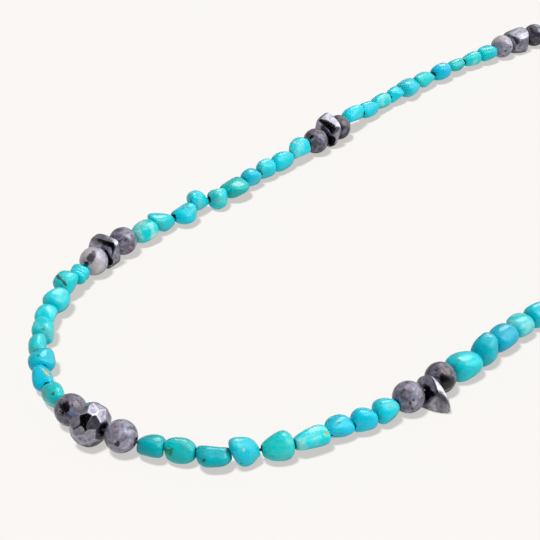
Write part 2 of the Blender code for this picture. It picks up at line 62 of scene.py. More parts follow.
# The forms that nuggets are tumbled to: end bluntness, girth squareness, taper, waist, sloping
# ends and a turn about the thread in degrees.
Cut = namedtuple("Cut", "blunt square taper waist dip turn")
CUTS = {
    "pebble": Cut(2.5, 2.2, 0.0, 0.0, 0.0, 0),
    "barrel": Cut(3.0, 2.4, 0.0, 0.0, 0.0, 0),
    "pear": Cut(2.6, 2.2, 0.16, 0.0, 0.0, 0),
    "drop": Cut(2.6, 2.2, -0.16, 0.0, 0.0, 0),
    "teardrop": Cut(2.0, 2.2, 0.25, 0.0, 0.0, 0),
    "wedge": Cut(2.8, 2.4, 0.20, 0.0, 0.45, 0),
    "slope": Cut(2.8, 2.4, -0.20, 0.0, -0.45, 0),
    "shield": Cut(2.5, 2.2, -0.26, 0.0, -0.12, 0),
    "cube": Cut(3.2, 3.0, 0.0, 0.0, 0.0, 10),
    "saddle": Cut(3.0, 2.4, 0.0, 0.14, 0.0, 0),
    "disc": Cut(2.6, 2.2, 0.0, 0.0, 0.0, 0),
}

# Nuggets in counter-clockwise order. Sizes are shares of the nugget sizes above.
Nugget = namedtuple("Nugget", "cut length width height lean side lift")
LEFT_THIRD = (
    Nugget("cube", 0.92, 0.95, 0.95, 0.0, 0.0, 0.0),
    Nugget("pebble", 1.08, 0.80, 0.85, 0.0, 0.0, 0.0),
    Nugget("drop", 0.96, 0.80, 0.75, 0.0, 0.0, 0.0),
    Nugget("pear", 1.05, 0.95, 1.00, 0.0, 0.0, 0.0),
    Nugget("wedge", 1.12, 0.93, 0.88, 0.0, 0.05, 0.0),
    Nugget("pear", 1.12, 1.20, 0.92, 0.0, 0.0, 0.0),
    Nugget("cube", 0.88, 0.85, 0.80, 0.0, 0.05, 0.0),
    Nugget("barrel", 1.05, 0.78, 0.85, 0.0, 0.1, 0.0),
    Nugget("disc", 0.90, 0.92, 0.92, 0.2, 0.1, 0.0),
    Nugget("cube", 1.22, 0.80, 0.88, 0.0, 0.1, 0.3),
)
LEFT_SECOND = (
    Nugget("cube", 1.00, 0.90, 1.00, 0.0, 0.1, 0.2),
    Nugget("pebble", 1.07, 0.85, 0.97, 0.0, 0.05, 0.0),
    Nugget("pebble", 0.84, 0.80, 1.13, 0.0, 0.05, 0.0),
    Nugget("disc", 0.88, 0.85, 1.00, 0.0, 0.0, 0.0),
    Nugget("pebble", 1.14, 1.20, 0.90, 0.0, -0.2, 0.0),
    Nugget("pebble", 0.78, 0.95, 1.13, 0.0, -0.35, 0.0),
    Nugget("wedge", 0.80, 0.85, 1.05, 0.0, 0.1, 0.2),
    Nugget("drop", 1.02, 1.15, 0.90, 0.0, -0.3, 0.0),
    Nugget("wedge", 0.90, 0.95, 1.05, 0.0, 0.05, 0.0),
    Nugget("pebble", 1.08, 1.15, 0.95, 0.0, -0.05, 0.0),
)
LEFT_FIRST = (
    Nugget("saddle", 0.66, 1.05, 0.85, 0.0, 0.1, 0.0),
    Nugget("pebble", 0.85, 1.10, 1.03, 0.0, 0.2, 0.2),
    Nugget("pear", 1.00, 1.10, 1.20, 0.0, 0.05, 0.0),
    Nugget("disc", 0.78, 0.95, 0.87, 0.0, 0.2, 0.0),
    Nugget("cube", 0.87, 0.90, 1.20, 0.0, 0.05, 0.0),
    Nugget("disc", 0.82, 0.80, 0.85, 0.0, 0.25, 0.0),
    Nugget("disc", 0.82, 1.20, 0.90, 0.0, 0.05, 0.0),
    Nugget("pebble", 0.99, 0.88, 0.90, 0.0, 0.2, 0.0),
    Nugget("barrel", 1.05, 0.88, 1.10, 0.0, 0.05, 0.0),
)
RIGHT_FIRST = (
    Nugget("barrel", 0.87, 0.92, 0.90, 0.0, 0.0, 0.0),
    Nugget("shield", 0.97, 1.05, 1.15, 0.0, 0.0, 0.0),
    Nugget("pebble", 1.07, 0.92, 0.85, 0.0, 0.3, 0.0),
    Nugget("slope", 0.83, 1.05, 1.20, 0.0, 0.0, 0.0),
    Nugget("teardrop", 1.05, 1.20, 1.15, 0.0, 0.0, 0.0),
    Nugget("barrel", 1.17, 0.95, 0.87, 0.0, -0.1, 0.0),
    Nugget("pebble", 0.90, 0.95, 0.85, 0.0, -0.3, 0.0),
    Nugget("pebble", 0.82, 0.88, 1.15, 0.0, -0.1, 0.0),
    Nugget("pebble", 0.83, 1.10, 1.10, 0.0, -0.05, 0.0),
)
RIGHT_SECOND = (
    Nugget("pebble", 1.20, 1.30, 1.25, 0.0, 0.05, 0.0),
    Nugget("disc", 0.97, 1.10, 1.42, 0.0, 0.05, 0.0),
    Nugget("pebble", 1.05, 1.12, 1.13, 0.0, -0.05, 0.0),
    Nugget("pebble", 0.90, 1.20, 0.90, 0.0, -0.05, 0.0),
    Nugget("pebble", 1.00, 1.10, 1.07, 0.0, 0.0, 0.0),
    Nugget("pear", 1.00, 1.00, 1.00, 0.0, 0.0, 0.0),
    Nugget("pebble", 1.00, 1.00, 1.00, 0.0, 0.0, 0.0),
    Nugget("drop", 1.00, 1.00, 1.00, 0.0, 0.0, 0.0),
    Nugget("cube", 0.90, 1.00, 1.00, 0.0, 0.0, 0.0),
    Nugget("barrel", 1.10, 1.00, 1.00, 0.0, 0.0, 0.0),
)

# A chip's flats: the way each faces about the thread (0 outwards, 90 up), its turn towards the
# thread's ends, and its reach in shares of the chip size. The first two touch the neighbours.
Flat = namedtuple("Flat", "around along reach")
CHIPS = {
    "tooth_out": (
        Flat(115, -60, 0.085), Flat(180, 80, 0.15), Flat(92, -5, 0.46), Flat(62, 10, 0.54),
        Flat(38, -22, 0.68), Flat(16, -50, 0.55), Flat(350, -75, 0.44), Flat(0, 85, 0.26),
        Flat(355, 0, 1.20), Flat(180, 0, 0.36), Flat(270, 0, 0.53),
    ),
    "block": (
        Flat(0, -90, 0.24), Flat(90, 72, 0.231), Flat(90, 5, 0.48), Flat(100, 47, 0.37),
        Flat(128, 50, 0.42), Flat(5, 0, 0.78), Flat(180, 0, 0.42), Flat(270, 0, 0.53),
        Flat(45, 0, 0.80), Flat(150, -10, 0.60), Flat(225, 0, 0.62), Flat(315, 0, 0.70),
    ),
    "tooth_up": (
        Flat(270, -75, 0.20), Flat(0, 90, 0.20), Flat(120, 6, 0.62), Flat(126, 48, 0.40),
        Flat(100, 24, 0.64), Flat(170, 32, 0.46), Flat(5, 0, 0.53), Flat(34, 0, 0.80),
        Flat(90, -20, 0.95), Flat(180, 0, 0.55), Flat(206, 0, 0.56), Flat(315, 0, 0.46),
        Flat(270, 0, 0.46),
    ),
    "cylinder": (
        Flat(0, -90, 0.53), Flat(0, 90, 0.53), Flat(92, 4, 0.45), Flat(35, 0, 0.62),
        Flat(118, 4, 0.50), Flat(128, 45, 0.54), Flat(0, 0, 0.66), Flat(180, 0, 0.44),
        Flat(180, -46, 0.49), Flat(225, 25, 0.60), Flat(270, 0, 0.53),
    ),
}

# A piece on the thread: its length, the thread's height in it, its sway and reach outwards, and
# the nugget or the chip's form that it has.
Piece = namedtuple("Piece", "kind name length height sway outer form")


def hidden_nuggets(count, seed):
    """Nuggets of the same range of forms for the stretches behind the picture's edge."""
    pick = np.random.default_rng(seed)
    names = [name for name in sorted(CUTS) if name not in ("teardrop", "shield")]
    return tuple(
        Nugget(
            names[pick.integers(len(names))],
            round(pick.uniform(0.90, 1.06), 2),
            round(pick.uniform(0.88, 1.10), 2),
            round(pick.uniform(0.90, 1.10), 2),
            round(pick.uniform(-0.15, 0.15), 2),
            round(pick.uniform(-0.10, 0.10), 2),
            0.0,
        )
        for _ in range(count)
    )


def chip_length(form):
    """The thread that a chip takes between two round beads touching its end flats."""
    ball = LARVIKITE_DIAMETER / 2 + BEAD_GAP
    lean = [(flat.reach, math.sin(math.radians(abs(flat.along)))) for flat in CHIPS[form][:2]]
    return 2 * max((reach * CHIP_SIZE + ball) / share - ball for reach, share in lean)


def round_piece(name, lift=0.0):
    """A round bead, lifted off the table or not."""
    radius = LARVIKITE_DIAMETER / 2
    return Piece("round", name, LARVIKITE_DIAMETER, radius + lift, 0.0, radius, None)


def trio(place, form):
    """A chip between two round beads."""
    outwards = [flat.reach for flat in CHIPS[form] if flat.along == 0 and flat.around in (0, 5, 355)]
    middle = Piece(
        "chip", f"hematite_chip_{place}", chip_length(form), LARVIKITE_DIAMETER / 2, 0.0,
        outwards[0] * CHIP_SIZE, form,
    )
    return [round_piece(f"larvikite_{place}_a"), middle, round_piece(f"larvikite_{place}_b")]


def run(name, nuggets):
    """Nuggets side by side on the thread."""
    return [
        Piece(
            "nugget", f"{name}_{i + 1}", n.length * NUGGET_LENGTH,
            THREAD_HEIGHT + n.lift * NUGGET_HEIGHT / 2, n.side * NUGGET_WIDTH / 2,
            (n.side + n.width / 2) * NUGGET_WIDTH, n,
        )
        for i, n in enumerate(nuggets)
    ]


cut_bead_height = CUT_BEAD_DIAMETER / 2 * math.cos(math.pi / CUT_BEAD_SIDES)
front_lift = FRONT_LIFT * (cut_bead_height - LARVIKITE_DIAMETER / 2)
front = [
    round_piece("larvikite_front_left", front_lift),
    Piece(
        "cut", "hematite_faceted", CUT_BEAD_LENGTH, cut_bead_height, CUT_BEAD_SWAY,
        CUT_BEAD_SWAY + CUT_BEAD_DIAMETER / 2, None,
    ),
    round_piece("larvikite_front_right", front_lift),
]
clasp_piece = Piece("clasp", "clasp", CLASP_LENGTH, CLASP_DIAMETER / 2, 0.0, CLASP_DIAMETER / 2, None)
order = (
    run("left_4", hidden_nuggets(10, 1)) + trio("left_3", "cylinder")
    + run("left_3", LEFT_THIRD) + trio("left_2", "tooth_up")
    + run("left_2", LEFT_SECOND) + trio("left_1", "block")
    + run("nugget_left_1", LEFT_FIRST) + front + run("nugget_right_1", RIGHT_FIRST)
    + trio("right_1", "tooth_out") + run("right_2", RIGHT_SECOND)
    + trio("right_2", "tooth_up") + run("right_3", hidden_nuggets(10, 2))
    + trio("right_3", "block") + run("right_4", hidden_nuggets(10, 3)) + [clasp_piece]
)


def smooth_loop(points, per_point=80):
    """A closed uniform cubic B-spline that passes through the points."""
    count = len(points)
    near = np.eye(count) * 4 / 6
    near += (np.roll(np.eye(count), 1, axis=0) + np.roll(np.eye(count), -1, axis=0)) / 6
    control = np.linalg.solve(near, np.array(points))
    t = np.arange(count * per_point) / per_point
    first = t.astype(int)
    f = (t - first)[:, None]
    weights = ((1 - f) ** 3, 3 * f**3 - 6 * f**2 + 4, -3 * f**3 + 3 * f**2 + 3 * f + 1, f**3)
    curve = sum(w / 6 * control[(first + k - 1) % count] for k, w in enumerate(weights))
    return np.vstack([curve, curve[:1]])


Seat = namedtuple("Seat", "turn centre")


class Strand:
    """The thread's path over the table and every piece's seat on it.

    The route is scaled to the pieces' summed length, straightened at the clasp and centred on
    the pieces' outer edges. Height and sway run evenly from piece to piece.
    """

    def __init__(self, pieces):
        pitch = np.array([piece.length + BEAD_GAP for piece in pieces])
        middles = np.cumsum(pitch) - pitch / 2
        front_index = [piece.kind for piece in pieces].index("cut")
        self.total, self.at = pitch.sum(), middles - middles[front_index]
        stiff = np.array([CLASP_LENGTH / 2 if piece.kind == "clasp" else 0.0 for piece in pieces])
        knots = np.column_stack([self.at - stiff, self.at + stiff]).ravel()
        self.knots = np.concatenate([knots - self.total, knots, knots + self.total])
        self.height = np.tile(np.repeat([piece.height for piece in pieces], 2), 3)
        self.sway = np.tile(np.repeat([piece.sway for piece in pieces], 2), 3)
        curve = smooth_loop(ROUTE)
        steps = np.linalg.norm(np.diff(curve, axis=0), axis=1)
        grow = self.total / steps.sum()
        self.along = np.concatenate([[0.0], np.cumsum(steps)]) * grow
        curve = curve * grow
        ends = np.abs(self.along - self.total / 2) < CLASP_LENGTH / 2 + BEAD_GAP
        curve[ends] = np.linspace(curve[ends][0], curve[ends][-1], ends.sum())
        self.curve = curve
        edge = self.flat(self.at) + self.outward(self.at) * np.array([[p.outer] for p in pieces])
        self.curve = curve - (edge.min(axis=0) + edge.max(axis=0)) / 2

    def flat(self, s):
        s = np.asarray(s) % self.total
        return np.column_stack([np.interp(s, self.along, self.curve[:, axis]) for axis in (0, 1)])

    def outward(self, s):
        """The level way to the loop's outer side."""
        ahead = self.flat(s + THREAD_DIAMETER) - self.flat(s - THREAD_DIAMETER)
        return np.column_stack([ahead[:, 1], -ahead[:, 0]]) / np.linalg.norm(ahead, axis=1)[:, None]

    def point(self, s):
        s = np.atleast_1d(s)
        level = self.flat(s) + self.outward(s) * np.interp(s, self.knots, self.sway)[:, None]
        return np.column_stack([level, np.interp(s, self.knots, self.height)])

    def seat(self, s, length):
        """X along the thread, Y to the loop's inside and Z up, as columns, and the middle."""
        ahead = (self.point(s + length / 2) - self.point(s - length / 2))[0]
        ahead = ahead / np.linalg.norm(ahead)
        outward = np.array([ahead[1], -ahead[0], 0.0]) / np.hypot(ahead[0], ahead[1])
        up = np.cross(outward, ahead)
        return Seat(np.column_stack([ahead, -outward, up]), self.point(s)[0])


strand = Strand(order)
seats = {piece.name: strand.seat(s, piece.length) for piece, s in zip(order, strand.at)}

necklace = bpy.data.collections.new("necklace")
bpy.context.scene.collection.children.link(necklace)
TRAIT_KINDS = {1: ("FLOAT", "value"), 3: ("FLOAT_VECTOR", "vector"), 4: ("FLOAT_COLOR", "color")}


def skin(name, sheets, finish, closed=True, traits=None, sharp=40.0):
    """One mesh from sheets of points, each (rings, sides, 3). Sides close on themselves, and so
    do rings if closed, else the end rings get flat caps. traits are values for every point, and
    edges that turn by more than sharp degrees stay crisp."""
    points, faces, start = [], [], 0
    for sheet in sheets:
        rings, sides = sheet.shape[:2]
        ring = np.arange(rings if closed else rings - 1)[:, None]
        side = np.arange(sides)[None, :]
        corners = [
            start + (r % rings) * sides + (c % sides)
            for r, c in ((ring, side), (ring + 1, side), (ring + 1, side + 1), (ring, side + 1))
        ]
        faces += np.stack(corners, axis=-1).reshape(-1, 4).tolist()
        if not closed:
            last = start + (rings - 1) * sides
            faces.append(list(range(start, start + sides)))
            faces.append(list(reversed(range(last, last + sides))))
        points.append(sheet.reshape(-1, 3))
        start += rings * sides
    mesh = bpy.data.meshes.new(name)
    mesh.from_pydata(np.concatenate(points).tolist(), [], faces)
    for trait, values in (traits or {}).items():
        kind, field = TRAIT_KINDS[values.shape[1] if values.ndim > 1 else 1]
        on_points = mesh.attributes.new(trait, kind, "POINT").data
        on_points.foreach_set(field, values.astype(np.float32).ravel())
    mesh.materials.append(finish.owner)
    mesh.shade_smooth()
    mesh.set_sharp_from_angle(angle=math.radians(sharp))
    piece = bpy.data.objects.new(name, mesh)
    necklace.objects.link(piece)
    return piece


def set_in(piece, slot, *nodes):
    """The piece stands for its solids and rides with the necklace. The slot is not used."""
    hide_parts(*nodes)
    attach(piece, "root")


class Finish:
    """The nodes of a material, or of the light tent, added with their inputs wired or set."""

    def __init__(self, owner):
        owner.use_nodes = True
        self.owner, self.tree = owner, owner.node_tree

    def put(self, socket, value):
        """Wires another node's output to the socket, or sets a number, a vector or a colour."""
        if isinstance(value, bpy.types.NodeSocket):
            self.tree.links.new(value, socket)
        else:
            socket.default_value = (*value, 1.0) if socket.type == "RGBA" else value

    def add(self, kind, *inputs, **settings):
        """A node. Its inputs come in order, or by names that begin with a capital letter."""
        node = self.tree.nodes.new(kind)
        named = {key.replace("_", " "): value for key, value in settings.items() if key[0].isupper()}
        for key, value in settings.items():
            if not key[0].isupper():
                setattr(node, key, value)
        for key, value in [*enumerate(inputs), *named.items()]:
            self.put(node.inputs[key], value)
        return node

    def math_of(self, operation, *inputs, clamp=False):
        return self.add("ShaderNodeMath", *inputs, operation=operation, use_clamp=clamp).outputs[0]

    def plus(self, first, second, clamp=False):
        return self.math_of("ADD", first, second, clamp=clamp)

    def times(self, first, second):
        return self.math_of("MULTIPLY", first, second)

    def times_plus(self, value, factor, added):
        return self.math_of("MULTIPLY_ADD", value, factor, added)

    def one_less(self, value):
        return self.math_of("SUBTRACT", 1.0, value)

    def soft_step(self, value, low, high):
        """0 up to low and 1 from high, with an eased rise between."""
        bounds = (value, low, high, 0.0, 1.0)
        return self.add("ShaderNodeMapRange", *bounds, interpolation_type="SMOOTHSTEP").outputs[0]

    def soft_fall(self, value, low, high):
        return self.one_less(self.soft_step(value, low, high))

    def attribute(self, name, output="Fac"):
        return self.add("ShaderNodeAttribute", attribute_name=name).outputs[output]

    def noise(self, place, scale, detail, roughness=0.5, distortion=0.0):
        inputs = {"Scale": scale, "Detail": detail, "Roughness": roughness, "Distortion": distortion}
        return self.add("ShaderNodeTexNoise", Vector=place, **inputs).outputs[0]

    def ramp(self, share, *stops):
        node = self.add("ShaderNodeValToRGB", share)
        elements = node.color_ramp.elements
        while len(elements) < len(stops):
            elements.new(0.5)
        for element, (place, colour) in zip(elements, stops):
            element.position, element.color = place, (*colour, 1.0)
        return node.outputs["Color"]

    def blend(self, share, first, second):
        """The first colour where the share is 0, and the second where it is 1."""
        node = self.add("ShaderNodeMix", data_type="RGBA")
        for place, value in ((0, share), (6, first), (7, second)):
            self.put(node.inputs[place], value)
        return node.outputs[2]

    def patch(self, depth, noise, ragged, low, high):
        """1 inside the edge of a fleck or mark and 0 outside, the edge made ragged by the noise."""
        edge = self.plus(self.attribute(depth), self.times_plus(noise, ragged, -ragged / 2))
        return self.soft_fall(edge, low, high)

    def dents(self, strength, height):
        """Shallow dents for the shader's normal."""
        return self.add("ShaderNodeBump", Strength=strength, Distance=0.00008, Height=height).outputs[0]

    def surface(self, **values):
        """Wires or sets inputs of the material's shader."""
        shader = self.tree.nodes["Principled BSDF"]
        for key, value in values.items():
            self.put(shader.inputs[key.replace("_", " ")], value)


# The thread itself is three fine dark plies under a light wax. It runs through every bead and
# a little way into the clasp at both ends.
THREAD_PLIES, THREAD_TWIST, PLY_DEPTH = 3, 0.0009, 0.06
THREAD_RINGS, THREAD_SIDES = 1600, 12
CLASP_BORE_DEPTH, THREAD_IN_BORE = 0.0020, 0.75
thread_finish = Finish(bpy.data.materials.new("waxed_thread"))
place = thread_finish.add("ShaderNodeTexCoord").outputs["Object"]
fuzz = thread_finish.noise(place, 9000.0, 3.0)
thread_finish.surface(
    Base_Color=thread_finish.ramp(fuzz, (0.3, (0.010, 0.010, 0.012)), (0.7, (0.060, 0.058, 0.060))),
    Roughness=0.65, Sheen_Weight=0.2,
)

# Rings about the thread's line, of radius R (1 - d + d cos(plies angle - 2 pi s / twist)).
past_bead = BEAD_GAP + CLASP_BORE_DEPTH * THREAD_IN_BORE
first_end = strand.at[0] - order[0].length / 2 - past_bead
last_end = strand.at[-2] + order[-2].length / 2 + past_bead
s = np.linspace(first_end, last_end, THREAD_RINGS)
line = strand.point(s)
ahead = np.gradient(line, axis=0)
ahead /= np.linalg.norm(ahead, axis=1)[:, None]
level = np.column_stack([ahead[:, 1], -ahead[:, 0], np.zeros(len(s))])
level /= np.linalg.norm(level, axis=1)[:, None]
upward = np.cross(level, ahead)
around = np.arange(THREAD_SIDES) * math.tau / THREAD_SIDES
plies = np.cos(THREAD_PLIES * around[None, :] - s[:, None] * math.tau / THREAD_TWIST)
thick = THREAD_DIAMETER / 2 * (1 - PLY_DEPTH + PLY_DEPTH * plies)
ring = np.cos(around)[None, :, None] * level[:, None] + np.sin(around)[None, :, None] * upward[:, None]
thread_line = skin("thread_line", [line[:, None] + thick[..., None] * ring], thread_finish, closed=False)
bare_threads = ("thread_front", "thread_left_2", "thread_left_3", "thread_right_2", "thread_right_3")
set_in(thread_line, "thread", *bare_threads)


# Turquoise nuggets. Each is a piece of blue-green stone, sawn, drilled through and tumbled until
# its corners are round, so no two match: some are greener, some milky, and brown, golden and
# olive traces of the host rock stay in them as flecks and veins.
BORE_DIAMETER, BORE_WALL, RIM_SINK, RIM_REACH = 0.0011, 0.00035, 0.00004, 0.58
NUGGET_GRID, HIDDEN_GRID = (46, 56), (20, 24)
HIDDEN_RUNS = ("nuggets_left_4", "nuggets_right_3", "nuggets_right_4")
STONE_SEED, SWELL_SEED = 1000, 2000
NO_FLECK = 9.0

# How firmly the flats cut into the stone, how much blunter its ends wear, its size and swell
# before it is fitted to its length, and how far along the stone a waist reaches.
NUGGET_EDGE, BLUNTER, NUGGET_GROWTH, NUGGET_SWELL, WAIST_REACH = 7.0, 1.1, 1.06, 0.10, 0.35


def wave(directions, seed, count=7, pitch=2.9):
    """A gentle swell over the ball: a few sine waves that cross it in seeded ways."""
    pick = np.random.default_rng(seed)
    ways = pick.normal(size=(count, 3))
    ways *= (pitch * pick.uniform(0.5, 1.3, count) / np.linalg.norm(ways, axis=1))[:, None]
    return np.sin(directions @ ways.T + pick.uniform(0, math.tau, count)).sum(axis=-1) / count


def facing(around, along):
    """The unit vector of a flat: X along the thread, -Y outwards, Z up."""
    around, along = np.radians(around), np.radians(along)
    out, up = np.cos(along) * np.cos(around), np.cos(along) * np.sin(around)
    return np.stack([np.sin(along), -out, up], axis=-1)


def planes(flats):
    """The unit vectors of the flats and their reaches."""
    around, along, reach = np.array(flats).T
    return facing(around, along), reach


def nugget_form(nugget, seat, flats, seed):
    """A function from directions to the nugget's skin, in its seat's axes.

    A super-ellipsoid with worn flats and a gentle swell, then tapered, waisted, rolled and
    sheared. Its middle is shifted off the thread to its side and up from the table, by a share
    of 1 - |x|^3 that leaves the ends on the thread. It is a bead gap longer at each end, so
    neighbours meet.
    """
    cut = CUTS[nugget.cut]
    blunt, square = cut.blunt * BLUNTER, cut.square
    size = (nugget.length * NUGGET_LENGTH, nugget.width * NUGGET_WIDTH, nugget.height * NUGGET_HEIGHT)
    half = np.array(size) / 2
    ways, reaches = planes(flats)

    def body(d):
        girth = (np.abs(d[..., 1:]) ** square).sum(axis=-1) ** (1 / square)
        reach = (np.abs(d[..., 0]) ** blunt + girth**blunt) ** (1 / blunt)
        worn = (np.maximum(d @ ways.T, 0.0) / reaches) ** NUGGET_EDGE
        reach = (reach**NUGGET_EDGE + worn.sum(axis=-1)) ** (1 / NUGGET_EDGE)
        out = (NUGGET_GROWTH + NUGGET_SWELL * wave(d, seed)) / reach
        x, y, z = np.moveaxis(d * out[..., None], -1, 0)
        swell = (1 + cut.taper * x) * (1 - cut.waist * np.exp(-((x / WAIST_REACH) ** 2)))
        turn = math.radians(cut.turn)
        y, z = y * math.cos(turn) - z * math.sin(turn), y * math.sin(turn) + z * math.cos(turn)
        free = np.clip(1 - np.abs(x) ** 3, 0, 1)
        return np.stack([x, swell * y, swell * z], axis=-1), free

    def laid(points):
        x, y, z = np.moveaxis(points, -1, 0)
        return np.stack([x / longest - nugget.lean * y + cut.dip * z, y, z], axis=-1) * half

    theta, phi = np.meshgrid(np.linspace(0, math.pi, 24), np.linspace(0, math.tau, 24))
    ball = np.stack([np.cos(theta), np.sin(theta) * np.cos(phi), np.sin(theta) * np.sin(phi)], axis=-1)
    points, free = body(ball)
    longest = np.abs(points[..., 0]).max() / (1 + BEAD_GAP / half[0])
    spare = BORE_DIAMETER / 2 + BORE_WALL
    side = np.clip(nugget.side * NUGGET_WIDTH / 2, spare - half[1], half[1] - spare)
    up, most_up = nugget.lift * NUGGET_HEIGHT / 2, half[2] - spare
    for _ in range(8):
        low = (laid(points) @ seat.turn.T + seat.centre)[..., 2] + up * free
        up = min(up + max(-low.min(), 0.0), most_up)

    def form(d):
        points, free = body(d)
        return laid(points) + np.stack([0 * free, -side * free, up * free], axis=-1)

    return form


def drilled(form, rings, sides):
    """A bead's skin from the rim of its hole to the other rim, then back along the bore.

    form turns directions into points. The rim on each meridian is where the skin is RIM_REACH
    of the bore's diameter from the thread's line, with a slightly sunk edge.
    """
    phi = np.arange(sides) * math.tau / sides

    def at(theta):
        d = np.stack([np.cos(theta), np.sin(theta) * np.cos(phi), np.sin(theta) * np.sin(phi)], axis=-1)
        return form(d)

    def rim(flip):
        theta = np.full(sides, 0.35)
        for _ in range(12):
            across = np.linalg.norm(at(math.pi - theta if flip else theta)[:, 1:], axis=1)
            theta = np.clip(theta * (BORE_DIAMETER * RIM_REACH / across) ** 0.8, 0.02, 1.2)
        return math.pi - theta if flip else theta

    share = np.linspace(0, 1, rings)[:, None]
    theta = rim(False) * (1 - share) + rim(True) * share
    shell = at(theta)
    circle = np.stack([0 * phi, np.cos(phi), np.sin(phi)], axis=-1) * BORE_DIAMETER / 2
    front_x, back_x = shell[0, :, 0] - RIM_SINK, shell[-1, :, 0] + RIM_SINK
    share = np.linspace(0, 1, 5)[:, None]
    inner = circle + (back_x * (1 - share) + front_x * share)[..., None] * [1.0, 0.0, 0.0]
    return np.concatenate([shell, inner])[::-1]


def seated(points, seat):
    return points @ seat.turn.T + seat.centre


# A fleck or mark: the way it faces, its radius in mm, how many times longer than wide it is, and
# how it tilts from the thread towards the top. A look says how green, light, milky and veined a
# nugget is, from 0 to about 1, then its flecks.
Fleck = namedtuple("Fleck", "kind around along size stretch tilt", defaults=(1.0, 0.0))
Look = namedtuple("Look", "green light milk vein flecks")


def fleck_depth(points, form, flecks, kind):
    """How far each point is from its nearest fleck, 1 at the edge: the distance in an ellipse on
    the skin, longer by the stretch along a line tilted from the thread towards the top."""
    depth = np.full(len(points), NO_FLECK)
    for fleck in flecks:
        if fleck.kind == kind:
            around, along, tilt = fleck.around, fleck.along, math.radians(fleck.tilt)
            ahead = form(facing(around, along + 2)) - form(facing(around, along - 2))
            over = form(facing(around + 2, along)) - form(facing(around - 2, along))
            ahead, over = ahead / np.linalg.norm(ahead), over / np.linalg.norm(over)
            off = (points - form(facing(around, along))) * 1000 / fleck.size
            length = off @ (ahead * math.cos(tilt) + over * math.sin(tilt))
            squared = (off**2).sum(axis=1) - length**2 * (1 - 1 / fleck.stretch**2)
            depth = np.minimum(depth, np.sqrt(np.maximum(squared, 0)))
    return depth


def random_flats(seed, count=5):
    """Worn flats round the girth, turned and spaced unevenly."""
    pick = np.random.default_rng(seed)
    around = (np.arange(count) + pick.uniform(-0.3, 0.3, count)) * 360 / count + pick.uniform(0, 360)
    return [Flat(a, pick.uniform(-35, 35), pick.uniform(0.84, 1.02)) for a in around]


def look(green, light, milk, vein, *flecks):
    return Look(green, light, milk, vein, flecks)


